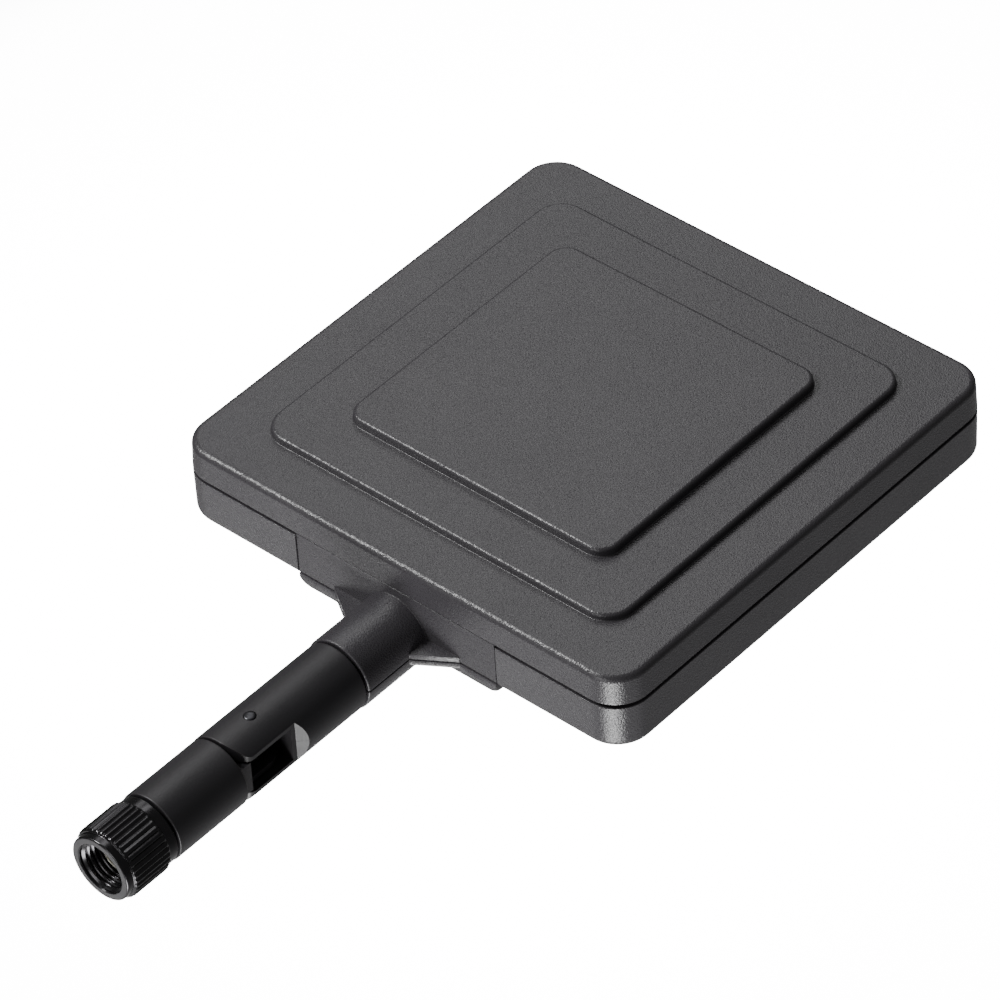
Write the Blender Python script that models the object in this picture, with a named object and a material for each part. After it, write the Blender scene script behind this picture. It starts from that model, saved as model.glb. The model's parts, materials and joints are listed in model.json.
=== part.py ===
"""Directional panel antenna on a hinged, swivelling stem with a knurled SMA coupling nut.

Frame: origin on the stem's axis at the mouth of the coupling nut, +Y along the stem towards
the far edge of the panel, +Z out of the panel's radiating face. All sizes are in millimetres
until the meshes are written, in metres.
"""
import math

import bpy
import bmesh
from mathutils import Matrix, Vector

MM = 0.001

# ---- Driving dimensions (mm) -------------------------------------------------------------
HOUSING_W = 68.0            # panel across the stem
HOUSING_D = 67.4            # panel along the stem
CORNER_R = 4.6              # plan radius of the panel's corners
AXIS_ABOVE_BACK = 0.58      # stem axis above the panel's back face
SHELL_H = 10.75             # back face to main front face
RADOME_H = 4.3              # part of that height above the parting line
REVEAL = 0.4                # open groove at the parting line
WALL = 1.5
EDGE_R = 0.85               # fillet round the front face
BACK_EDGE_R = 1.0
DRAFT = 0.2                 # inward lean of the radome's wall over its height
BACK_DRAFT = 0.04           # and of the back shell's
STEP_H = (0.94, 1.14)       # heights of the two raised steps
STEP_INSET = (7.0, 14.1)    # distance of each step from the panel's edge
STEP_CORNER_R = (3.6, 2.6)
STEP_EDGE_R = 0.5
SKIRT_DROP = 1.0            # radome's inner skirt below the parting line
SKIRT = (1.1, 1.9)          # its outer and inner faces, from the panel's edge
RIM_T = 0.8                 # back shell's thin rim outside the skirt
GAP = 0.3                   # clearance between touching pieces

STEM_LENGTH = 49.3          # nut mouth to the panel's wall
NECK_HALF_W = 15.1          # neck block across the stem
NECK_DEPTH = 4.0
NECK_DROP = 2.3             # neck cover below the stem axis
NECK_ROUND = 1.2            # rolled lower edges of the neck cover
SOCKET_R = 4.75
SOCKET_L = 9.9
SOCKET_BORE_R = 3.6
GUSSET_TIP = 9.6            # gusset's reach across the stem, at the wall
GUSSET_L = 3.1
GUSSET_HALF_T = 0.8
SPLIT = 0.1                 # half of the gap between neck block and neck cover

TUBE_R = 4.56
LOWER_TUBE_R = 4.51
TUBE_BORE_R = 1.4
SPIGOT_R = 3.3
HINGE_OUT = 24.35           # hinge pin from the panel's wall
EAR_R = 5.25                # round end of the ears, about the pin
EAR_CORNER_R = 1.2
EAR_FLAT = 3.5              # flat cut on the opening side, from the stem axis
SLOT_HALF_T = 2.4
SLOT_BACK = 3.2             # slot's depth past the axis, on the closed side
SLOT_END = 2.75             # slot's floor beyond the pin
RAMP_FOOT = 3.4             # ramp's start on the flat, beyond the pin
TONGUE_HALF_W = 2.45
TONGUE_HALF_T = 2.12
TONGUE_BASE = (3.35, 3.75)  # stop block at the tongue's root: reach sideways, end before the pin
CABLE_SLOT_HALF_T = 1.45
PIN_R = 0.7
FACE_OUT = 5.6              # lower tube's end face from the pin

LOWER_TUBE_START = 8.3      # from the nut's mouth
SWIVEL_BORE_R = 3.0
SWIVEL_BORE_END = 12.1
FERRULE_BORE_R = 2.5
FERRULE_BORE_END = 16.5
CABLE_BORE_R = 1.2

NUT_R = 4.72
NUT_L = 8.0
NUT_RIBS = 38
RIB_DEPTH = 0.22
RIB_CHAMFER = 0.25
KNURL = (1.0, 6.7)          # knurled length, from the mouth
NOSE_R = 4.25               # plain ring in front of the knurl
NOSE_EDGE = 0.15
NUT_NECK_R = 4.4            # and behind it
THREAD_BORE_R = 3.0         # mean radius of the 1/4-36 UNS thread
MOUTH_R = 3.36
MOUTH_CHAMFER = 0.35
THREAD_END = 4.6
REFERENCE_PLANE = 2.6       # end of the outer conductor, behind the nut's mouth
SLEEVE_R = 2.3
SLEEVE_BORE_R = 2.05
BARREL_R = 2.7
BARREL_END = 11.4
CRIMP_R = 0.95              # tail of the body, inside the cable's braid
CRIMP_END = 14.5
DIELECTRIC_END = 8.9
CONTACT_R = 0.63            # socket contact of the reverse-polarity connector
CONTACT_BORE_R = 0.47
CONTACT_TAIL_R = 0.3
FERRULE_R = 1.75
CLIP_Y = (5.95, 9.35)       # clip grooves: nut, lower tube
CLIP_GROOVE_L = 0.9
CLIP_GROOVE_R = 3.45

COAX_R = 0.9
COAX_START = 15.2
COAX_FLOOR_Z = 2.5          # cable's centre line inside the panel
COAX_END = -10.5            # its end, from the panel's centre

PLATE_Z = 3.7               # reflector plate
PLATE_T = 0.6
PLATE_HALF = 28.6
PLATE_CUT = 8.0
POST_AT = 20.0
POST_R = 2.2
PATCH_Z = 6.4
PATCH_T = 0.4
PATCH_HALF = 20.0
PATCH_CUT = 3.0
SPACER_AT = 14.0
SPACER_R = 1.8
TOP_PATCH_Z = 8.9
TOP_PATCH_HALF = 16.0
TOP_PATCH_CUT = 2.0
STUD_R = 1.6
STUD_TIP_R = 0.9
FEED_AT = -8.0
FEED_R = 0.5
BOSS_AT = (28.2, 27.9)
BOSS_R = 2.6
SCREW_SHANK_R = 0.9
SCREW_HEAD_R = 1.75
SCREW_HEAD_H = 1.2
SCREW_SINK = 1.9            # seat of the back screws, above the back face
NECK_FLANGE = 1.9           # neck block's hidden wings, past its visible ends
CABLE_CHANNEL_HALF_W = 1.3
CABLE_RISE = (-2.0, 6.5)    # cable climbs to the panel floor between these, from the wall
CLAMP_AT = -18.0
CLAMP_L = 3.0

# ---- Worked out from them ----------------------------------------------------------------
WALL_Y = STEM_LENGTH
CENTRE_Y = WALL_Y + HOUSING_D / 2
BACK_Z = -AXIS_ABOVE_BACK
FACE_Z = BACK_Z + SHELL_H
PART_Z = FACE_Z - RADOME_H
FLOOR_Z = BACK_Z + WALL
TOP_Z = FACE_Z + STEP_H[0] + STEP_H[1]
PIN_Y = WALL_Y - HINGE_OUT
NECK_SCREW_AT = 10.5
NECK_SCREW_SEAT = -1.15      # floor of the wells in the neck cover
NECK_SCREW_L = 4.6
NECK_SCREW_HEAD_H = 0.75
NECK_SCREW_Y = WALL_Y + 2.1

ROUND = 30                  # sides of the stem's turned pieces
SMALL_ROUND = 12
CORNER_STEPS = 4


# ---- Mesh building -----------------------------------------------------------------------
def material(name, colour, roughness, metallic=0.0):
    """One Principled material."""
    made = bpy.data.materials.new(name)
    made.use_nodes = True
    shader = made.node_tree.nodes["Principled BSDF"]
    shader.inputs["Base Color"].default_value = (*colour, 1.0)
    shader.inputs["Roughness"].default_value = roughness
    shader.inputs["Metallic"].default_value = metallic
    return made


def mesh_from_rings(rings, wrap=False):
    """Skin a list of rings; the ends are capped, or joined to each other when wrap is set."""
    bm = bmesh.new()
    rows = [[bm.verts.new(Vector(point) * MM) for point in ring] for ring in rings]
    pairs = list(zip(rows, rows[1:]))
    if wrap:
        pairs.append((rows[-1], rows[0]))
    for low, high in pairs:
        for i in range(len(low)):
            j = (i + 1) % len(low)
            bm.faces.new((low[i], low[j], high[j], high[i]))
    if not wrap:
        bm.faces.new(rows[0])
        bm.faces.new(rows[-1])
    bmesh.ops.recalc_face_normals(bm, faces=bm.faces)
    return bm


def turned(profile, hollow=True, sides=ROUND, arc=None):
    """Turn (y, radius) points about the stem axis; arc limits the sweep, in degrees from +X."""
    def ring_at(angle):
        return [(r * math.cos(angle), y, r * math.sin(angle)) for y, r in profile]
    if arc:
        first, last = (math.radians(a) for a in arc)
        steps = sides // 2
        rings = [ring_at(first + (last - first) * i / steps) for i in range(steps + 1)]
        return mesh_from_rings(rings)
    angles = [2 * math.pi * i / sides for i in range(sides)]
    if hollow:
        return mesh_from_rings([ring_at(a) for a in angles], wrap=True)
    rings = [[(r * math.cos(a), y, r * math.sin(a)) for a in angles] for y, r in profile]
    return mesh_from_rings(rings)


def upright(profile, sides=SMALL_ROUND):
    """Solid of revolution about Z from (z, radius) points."""
    angles = [2 * math.pi * i / sides for i in range(sides)]
    return mesh_from_rings([[(r * math.cos(a), r * math.sin(a), z) for a in angles] for z, r in profile])


def upright_tube(outer, inner, low, high, sides=SMALL_ROUND):
    """Plain tube about Z."""
    section = ((outer, low), (outer, high), (inner, high), (inner, low))
    angles = [2 * math.pi * i / sides for i in range(sides)]
    return mesh_from_rings([[(r * math.cos(a), r * math.sin(a), z) for r, z in section] for a in angles],
                           wrap=True)


def box(low, high):
    """Box between two corners."""
    (x0, y0, z0), (x1, y1, z1) = low, high
    outline = ((x0, y0), (x1, y0), (x1, y1), (x0, y1))
    return extruded(outline, z0, z1)


def extruded(outline, low, high):
    """Extrude an XY outline along Z."""
    return mesh_from_rings([[(x, y, z) for x, y in outline] for z in (low, high)])


def extruded_x(outline, low, high):
    """Extrude a YZ outline along X."""
    return mesh_from_rings([[(x, y, z) for y, z in outline] for x in (low, high)])


def arc_points(centre, radius, start, end, steps):
    """Points on an arc, angles in degrees."""
    angles = [math.radians(start + (end - start) * i / steps) for i in range(steps + 1)]
    return [(centre[0] + radius * math.cos(a), centre[1] + radius * math.sin(a)) for a in angles]


def plan_ring(inset, z, corner_r):
    """The panel's rounded outline, drawn in by inset, at height z."""
    half_w, half_d = HOUSING_W / 2 - inset, HOUSING_D / 2 - inset
    points = []
    for quarter, (sx, sy) in enumerate(((1, 1), (-1, 1), (-1, -1), (1, -1))):
        centre = (sx * (half_w - corner_r), CENTRE_Y + sy * (half_d - corner_r))
        points += arc_points(centre, corner_r, 90 * quarter, 90 * quarter + 90, CORNER_STEPS)
    return [(x, y, z) for x, y in points]


def shell_ring(inset, z):
    """A ring of the panel's own outline, whose corner radius shrinks with the inset."""
    return plan_ring(inset, z, max(CORNER_R - inset, 0.8))


def rolled_edge(inset, z, radius, steps, ring, rising=True):
    """Rings round a convex edge fillet that ends at height z."""
    rings = []
    for i in range(steps + 1):
        a = math.radians(90 * i / steps)
        up = radius * (1 - math.sin(a))
        rings.append(ring(inset + radius * (1 - math.cos(a)), z - up if rising else z + up))
    return rings


def merged(parts, places):
    """One mesh holding a copy of the given mesh at each place."""
    whole = bmesh.new()
    for place in places:
        copy = parts.copy()
        bmesh.ops.translate(copy, verts=copy.verts, vec=Vector(place) * MM)
        holder = bpy.data.meshes.new("copy")
        copy.to_mesh(holder)
        copy.free()
        whole.from_mesh(holder)
        bpy.data.meshes.remove(holder)
    return whole


# ---- Scene objects -----------------------------------------------------------------------
def joint_empty(name, location):
    """Empty on a joint's axis, the parent of what moves with it."""
    empty = bpy.data.objects.new(name, None)
    empty.location = Vector(location) * MM
    empty.empty_display_size = 0.01
    bpy.context.scene.collection.objects.link(empty)
    return empty


def piece(name, bm, parent, finish, sharp=35):
    """Object whose origin is its parent empty; its mesh is given in the part's own frame."""
    mesh = bpy.data.meshes.new(name)
    bm.to_mesh(mesh)
    bm.free()
    mesh.transform(Matrix.Translation(-parent.location))
    mesh.materials.append(finish)
    mesh.shade_smooth()
    mesh.set_sharp_from_angle(angle=math.radians(sharp))
    obj = bpy.data.objects.new(name, mesh)
    obj.parent = parent
    bpy.context.scene.collection.objects.link(obj)
    return obj


def boolean(target, operation, bm, label):
    """Cut a shape out of the target, or weld one to it; the helper shape isn't rendered."""
    helper = piece(f"{label}.{target.name}", bm, target.parent, target.data.materials[0])
    helper.hide_render = True
    helper.display_type = "WIRE"
    step = target.modifiers.new(label, "BOOLEAN")
    step.operation = operation
    step.object = helper


def cut(target, bm, label):
    boolean(target, "DIFFERENCE", bm, label)


def weld(target, bm, label):
    boolean(target, "UNION", bm, label)


# ---- Connector: the fixed root -----------------------------------------------------------
def build_connector(root, metal, gold, teflon, rubber, spring):
    groove_a, groove_b = CLIP_Y
    body = [(REFERENCE_PLANE, SLEEVE_BORE_R), (REFERENCE_PLANE, SLEEVE_R), (THREAD_END, SLEEVE_R),
            (THREAD_END, BARREL_R)]
    for start in (groove_a, groove_b):
        body += [(start, BARREL_R), (start, SLEEVE_R), (start + CLIP_GROOVE_L, SLEEVE_R),
                 (start + CLIP_GROOVE_L, BARREL_R)]
    tail_bore_r = CONTACT_TAIL_R + GAP - 0.05
    body += [(BARREL_END, BARREL_R), (BARREL_END, CRIMP_R), (CRIMP_END, CRIMP_R), (CRIMP_END, tail_bore_r),
             (DIELECTRIC_END, tail_bore_r), (DIELECTRIC_END, SLEEVE_BORE_R)]
    piece("connector_body", turned(body), root, metal)
    front, back = REFERENCE_PLANE + 0.2, DIELECTRIC_END - GAP
    insulator = [(front, CONTACT_R + 0.12), (front, SLEEVE_BORE_R - 0.2), (back, SLEEVE_BORE_R - 0.2),
                 (back, CONTACT_R + 0.12)]
    piece("insulator", turned(insulator, sides=24), root, teflon)
    mouth, shoulder = REFERENCE_PLANE + 0.1, DIELECTRIC_END - 2 * GAP
    contact = [(mouth + 3.0, 0.1), (mouth + 2.7, CONTACT_BORE_R), (mouth, CONTACT_BORE_R), (mouth, CONTACT_R),
               (shoulder, CONTACT_R), (shoulder + 0.2, CONTACT_TAIL_R), (CRIMP_END - 0.7, CONTACT_TAIL_R)]
    piece("centre_contact", turned(contact, hollow=False, sides=SMALL_ROUND), root, gold)
    seat = THREAD_END - 0.2
    gasket = [(seat - 0.7, SLEEVE_R + 0.12), (seat - 0.7, 2.85), (seat, 2.85), (seat, SLEEVE_R + 0.12)]
    piece("face_gasket", turned(gasket, sides=24), root, rubber)
    ferrule = [(BARREL_END + GAP, 1.2), (BARREL_END + GAP, FERRULE_R), (CRIMP_END + 0.4, FERRULE_R),
               (CRIMP_END + 0.4, 1.2)]
    piece("crimp_ferrule", turned(ferrule, sides=24), root, metal)
    clip = clip_ring(groove_a)
    piece("nut_retaining_clip", clip, root, spring)


def clip_ring(groove_start):
    """Split spring ring that sits half in one groove and half in the groove round it."""
    low, high = groove_start + 0.15, groove_start + CLIP_GROOVE_L - 0.15
    section = [(low, SLEEVE_R + 0.15), (low, 3.3), (high, 3.3), (high, SLEEVE_R + 0.15)]
    return turned(section, sides=44, arc=(110, 430))


# ---- Coupling nut ------------------------------------------------------------------------
def build_nut(joint, metal):
    """Knurled nut: rings of ribbed outline outside, plain turned rings inside."""
    count = NUT_RIBS * 2
    angles = [2 * math.pi * i / count for i in range(count)]

    def ring(y, radius, depth=0.0):
        return [((radius - depth * (i % 2)) * math.cos(a), y, (radius - depth * (i % 2)) * math.sin(a))
                for i, a in enumerate(angles)]
    first, last = KNURL
    groove = CLIP_Y[0]
    outside = [ring(0.0, NOSE_R - NOSE_EDGE), ring(NOSE_EDGE, NOSE_R), ring(first, NOSE_R),
               ring(first, NUT_R - RIB_DEPTH), ring(first + RIB_CHAMFER, NUT_R, RIB_DEPTH),
               ring(last - RIB_CHAMFER, NUT_R, RIB_DEPTH), ring(last, NUT_R - RIB_DEPTH),
               ring(last, NUT_NECK_R), ring(NUT_L, NUT_NECK_R)]
    inside = [ring(NUT_L, SWIVEL_BORE_R), ring(groove + CLIP_GROOVE_L, SWIVEL_BORE_R),
              ring(groove + CLIP_GROOVE_L, CLIP_GROOVE_R), ring(groove, CLIP_GROOVE_R),
              ring(groove, SWIVEL_BORE_R), ring(MOUTH_CHAMFER, THREAD_BORE_R), ring(0.0, MOUTH_R)]
    piece("coupling_nut", mesh_from_rings(outside + inside, wrap=True), joint, metal, sharp=25)


# ---- Lower tube: swivels on the connector, carries the hinge tongue --------------------------
def build_lower_tube(joint, plastic, spring, sheath):
    face = PIN_Y - FACE_OUT
    start = LOWER_TUBE_START
    groove = CLIP_Y[1]
    outline = [(start, SWIVEL_BORE_R), (start, LOWER_TUBE_R - 0.15), (start + 0.15, LOWER_TUBE_R),
               (face - 0.15, LOWER_TUBE_R), (face, LOWER_TUBE_R - 0.15), (face, CABLE_BORE_R),
               (FERRULE_BORE_END, CABLE_BORE_R), (FERRULE_BORE_END, FERRULE_BORE_R),
               (SWIVEL_BORE_END, FERRULE_BORE_R), (SWIVEL_BORE_END, SWIVEL_BORE_R),
               (groove + CLIP_GROOVE_L, SWIVEL_BORE_R), (groove + CLIP_GROOVE_L, CLIP_GROOVE_R),
               (groove, CLIP_GROOVE_R), (groove, SWIVEL_BORE_R)]
    tube = piece("lower_tube", turned(outline), joint, plastic)
    root = face - 0.8
    tongue = arc_points((0.0, PIN_Y), TONGUE_HALF_W, 180, 0, 12)
    base_x, base_y = TONGUE_BASE[0], PIN_Y - TONGUE_BASE[1]
    tongue += [(TONGUE_HALF_W, base_y), (base_x, base_y), (base_x, root), (-TONGUE_HALF_W, root)]
    weld(tube, extruded(tongue, -TONGUE_HALF_T, TONGUE_HALF_T), "tongue")
    cable_slot = box((-CABLE_SLOT_HALF_T, base_y, -CABLE_SLOT_HALF_T), (6.0, PIN_Y + 6.0, CABLE_SLOT_HALF_T))
    cut(tube, cable_slot, "cable_slot")
    cable_bore = turned([(FERRULE_BORE_END - 1.0, CABLE_BORE_R), (base_y + 1.0, CABLE_BORE_R)], hollow=False)
    cut(tube, cable_bore, "cable_bore")
    cut(tube, pin_hole(PIN_R + 0.2, 6.0), "pin_hole")
    piece("swivel_clip", clip_ring(groove), joint, spring)
    cable = [(COAX_START, COAX_R), (PIN_Y - 1.4, COAX_R)]
    piece("coax_lower", turned(cable, hollow=False, sides=12), joint, sheath)


def pin_hole(radius, half_length):
    """Upright cutter on the hinge pin's axis."""
    hole = upright([(-half_length, radius), (half_length, radius)], sides=16)
    bmesh.ops.translate(hole, verts=hole.verts, vec=Vector((0.0, PIN_Y, 0.0)) * MM)
    return hole


# ---- Upper tube: ears, window and spigot -----------------------------------------------------
def build_upper_tube(joint, plastic, steel):
    ears_end = PIN_Y - EAR_R
    shoulder = WALL_Y - SOCKET_L - GAP
    outline = [(ears_end, TUBE_BORE_R), (ears_end, TUBE_R - 0.15), (ears_end + 0.15, TUBE_R),
               (shoulder - 0.2, TUBE_R), (shoulder, TUBE_R - 0.2), (shoulder, SPIGOT_R),
               (WALL_Y - 3.15, SPIGOT_R), (WALL_Y - 3.15, 3.95), (WALL_Y - 1.75, 3.95),
               (WALL_Y - 1.75, SPIGOT_R), (WALL_Y - 0.6, SPIGOT_R), (WALL_Y - 0.6, TUBE_BORE_R)]
    tube = piece("upper_tube", turned(outline), joint, plastic)
    slot = box((-SLOT_BACK, ears_end - 2.0, -SLOT_HALF_T), (8.0, PIN_Y + SLOT_END, SLOT_HALF_T))
    cut(tube, slot, "slot")
    cut(tube, extruded(window_outline(), -8.0, 8.0), "window")
    cut(tube, pin_hole(PIN_R + 0.12, 8.0), "pin_hole")
    for name, side in (("hinge_pin_front", 1), ("hinge_pin_back", -1)):
        rivet = upright([(side * 1.6, PIN_R - 0.1), (side * 1.75, PIN_R), (side * 4.5, PIN_R),
                         (side * 4.66, PIN_R * 0.75), (side * 4.72, PIN_R * 0.3)])
        bmesh.ops.translate(rivet, verts=rivet.verts, vec=Vector((0.0, PIN_Y, 0.0)) * MM)
        piece(name, rivet, joint, steel)


def window_outline():
    """What is cut from the upper tube's opening side: ramp, flat, and the ears' round ends."""
    ramp_foot = PIN_Y + RAMP_FOOT
    inner = EAR_R - EAR_CORNER_R
    corner_x = EAR_FLAT - EAR_CORNER_R
    corner_y = -math.sqrt(inner ** 2 - corner_x ** 2)
    meet = math.degrees(math.atan2(corner_y, corner_x))
    outline = [(8.0, ramp_foot + 4.5), (EAR_FLAT, ramp_foot)]
    outline += arc_points((corner_x, PIN_Y + corner_y), EAR_CORNER_R, 0, meet, 4)
    outline += arc_points((0.0, PIN_Y), EAR_R, meet, -90, 8)[1:]
    outline += [(0.0, PIN_Y - 9.0), (8.0, PIN_Y - 9.0)]
    return outline


# ---- Neck: block let into the panel's wall, and the cover under it ---------------------------
def socket_half(arc):
    """Half of the socket that clamps the upper tube's spigot and flange."""
    section = [(WALL_Y - SOCKET_L, SOCKET_BORE_R), (WALL_Y - 3.4, SOCKET_BORE_R), (WALL_Y - 3.4, 4.15),
               (WALL_Y - 1.5, 4.15), (WALL_Y - 1.5, SOCKET_BORE_R), (WALL_Y + 0.5, SOCKET_BORE_R),
               (WALL_Y + 0.5, SOCKET_R), (WALL_Y - SOCKET_L + 0.2, SOCKET_R),
               (WALL_Y - SOCKET_L, SOCKET_R - 0.2)]
    return turned(section, arc=arc)


def gussets(low, high):
    """Pair of thin triangular ribs beside the socket."""
    outline = [(4.35, WALL_Y + 0.5), (4.35, WALL_Y - GUSSET_L), (SOCKET_R, WALL_Y - GUSSET_L),
               (GUSSET_TIP, WALL_Y), (GUSSET_TIP, WALL_Y + 0.5)]
    mirrored = [(-x, y) for x, y in reversed(outline)]
    return [extruded(side, low, high) for side in (outline, mirrored)]


def build_neck(joint, plastic, steel):
    rim_z = PART_Z - REVEAL / 2
    ledge_z = PART_Z - SKIRT_DROP - GAP
    block = [(WALL_Y, SPLIT), (WALL_Y, rim_z), (WALL_Y + RIM_T, rim_z), (WALL_Y + RIM_T, ledge_z),
             (WALL_Y + NECK_DEPTH, ledge_z), (WALL_Y + NECK_DEPTH, SPLIT)]
    upper = piece("neck_block", extruded_x(block, -NECK_HALF_W, NECK_HALF_W), joint, plastic)
    flange = box((-NECK_HALF_W - NECK_FLANGE, WALL_Y + 2.0, FLOOR_Z + GAP),
                 (NECK_HALF_W + NECK_FLANGE, WALL_Y + NECK_DEPTH - 0.1, ledge_z - 0.1))
    weld(upper, flange, "flange")
    weld(upper, socket_half((1.5, 178.5)), "socket")
    bore = [(WALL_Y - 0.5, SPLIT), (WALL_Y - 0.5, 3.9), (WALL_Y + 6.0, 3.9), (WALL_Y + 6.0, -1.0),
            (WALL_Y - 0.5, -1.0)]
    cut(upper, extruded_x(bore, -CABLE_CHANNEL_HALF_W, CABLE_CHANNEL_HALF_W), "cable_channel")
    for index, rib in enumerate(gussets(SPLIT, GUSSET_HALF_T)):
        weld(upper, rib, f"gusset_{index}")
    pilot = upright([(-5.0, SCREW_SHANK_R + 0.15), (3.6, SCREW_SHANK_R + 0.15)])
    spots = [(side * NECK_SCREW_AT, NECK_SCREW_Y, 0.0) for side in (-1, 1)]
    cut(upper, merged(pilot, spots), "pilot_holes")

    front, back, level = WALL_Y + NECK_ROUND, WALL_Y + NECK_DEPTH - NECK_ROUND, NECK_ROUND - NECK_DROP
    turns = [math.radians(a) for a in range(0, 91, 15)]
    keel = [(WALL_Y, -SPLIT)]
    keel += [(front - NECK_ROUND * math.cos(t), level - NECK_ROUND * math.sin(t)) for t in turns]
    keel += [(back + NECK_ROUND * math.sin(t), level - NECK_ROUND * math.cos(t)) for t in turns]
    keel += [(WALL_Y + NECK_DEPTH, -SPLIT)]
    cover_mesh = keel_body(keel)
    cover = piece("neck_cover", cover_mesh, joint, plastic)
    weld(cover, socket_half((181.5, 358.5)), "socket")
    channel = [(WALL_Y - 0.5, 0.0), (WALL_Y - 0.5, -1.2), (WALL_Y + 6.0, -1.2), (WALL_Y + 6.0, 0.0)]
    cut(cover, extruded_x(channel, -CABLE_CHANNEL_HALF_W, CABLE_CHANNEL_HALF_W), "cable_channel")
    for index, rib in enumerate(gussets(-GUSSET_HALF_T, -SPLIT)):
        weld(cover, rib, f"gusset_{index}")
    hole = upright([(-5.0, SCREW_HEAD_R + 0.2), (NECK_SCREW_SEAT, SCREW_HEAD_R + 0.2),
                    (NECK_SCREW_SEAT, SCREW_SHANK_R + 0.15), (1.0, SCREW_SHANK_R + 0.15)])
    cut(cover, merged(hole, spots), "screw_holes")
    for index, (x, y, _) in enumerate(spots, start=1):
        body = screw(x, y, NECK_SCREW_SEAT - GAP, 1, NECK_SCREW_L, NECK_SCREW_HEAD_H)
        piece(f"neck_screw_{index}", body, joint, steel)


def keel_body(section):
    """Bar across the stem whose two ends roll in towards the bottom."""
    roll = ((0.0, 0.45), (0.3, 0.72), (0.8, 0.9), (1.5, 1.0))      # distance from the end, depth there
    stations = [(-NECK_HALF_W + step, depth) for step, depth in roll]
    stations += [(NECK_HALF_W - step, depth) for step, depth in reversed(roll)]
    rings = [[(x, y, -SPLIT + (z + SPLIT) * depth) for y, z in section] for x, depth in stations]
    return mesh_from_rings(rings)


def screw(x, y, head_z, direction, length, head_h=SCREW_HEAD_H):
    """Pan-head screw whose shank runs along direction * Z from the head."""
    outline = [(-direction * head_h, SCREW_HEAD_R * 0.7), (-direction * head_h * 0.7, SCREW_HEAD_R),
               (0.0, SCREW_HEAD_R), (0.0, SCREW_SHANK_R), (direction * (length - 0.5), SCREW_SHANK_R),
               (direction * length, SCREW_SHANK_R * 0.4)]
    mesh = upright(outline)
    bmesh.ops.translate(mesh, verts=mesh.verts, vec=Vector((x, y, head_z)) * MM)
    return mesh


# ---- Panel shells ------------------------------------------------------------------------
def boss_places(at, z=0.0):
    half_x, half_y = at if isinstance(at, tuple) else (at, at)
    return [(sx * half_x, CENTRE_Y + sy * half_y, z) for sy in (-1, 1) for sx in (-1, 1)]


def build_radome(joint, plastic):
    heights = [FACE_Z, FACE_Z + STEP_H[0], TOP_Z]
    rings = []
    inner_levels = [(STEP_INSET[1] + 1.2, heights[2]), (STEP_INSET[0] + 1.2, heights[1])]
    for level, (inset, height) in enumerate(inner_levels):
        radius = STEP_CORNER_R[1 - level] - 0.8
        rings += [plan_ring(inset, height - WALL, radius),
                  plan_ring(inset, heights[1 - level] - WALL, radius)]
    rings += [shell_ring(SKIRT[1], FACE_Z - WALL), shell_ring(SKIRT[1], PART_Z - SKIRT_DROP),
              shell_ring(SKIRT[0], PART_Z - SKIRT_DROP), shell_ring(SKIRT[0], PART_Z + REVEAL / 2),
              shell_ring(0.0, PART_Z + REVEAL / 2)]
    rings += rolled_edge(DRAFT, FACE_Z, EDGE_R, 4, shell_ring)
    for inset, height, radius in zip(STEP_INSET, heights[1:], STEP_CORNER_R):
        base = heights[heights.index(height) - 1]
        rings.append(plan_ring(inset, base, radius))
        rings += rolled_edge(inset + 0.05, height, STEP_EDGE_R, 2,
                             lambda i, z, r=radius, e=inset: plan_ring(i, z, r - (i - e)))
    radome = piece("front_radome", mesh_from_rings(rings), joint, plastic)
    boss_foot = FLOOR_Z + 2.4
    bosses = upright([(boss_foot, BOSS_R - 0.4), (FACE_Z - WALL + 0.5, BOSS_R - 0.4)])
    weld(radome, merged(bosses, boss_places(BOSS_AT)), "bosses")
    pilot = upright([(boss_foot - 1.0, SCREW_SHANK_R + 0.15), (FACE_Z - WALL - 0.6, SCREW_SHANK_R + 0.15)])
    cut(radome, merged(pilot, boss_places(BOSS_AT)), "pilot_holes")


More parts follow.
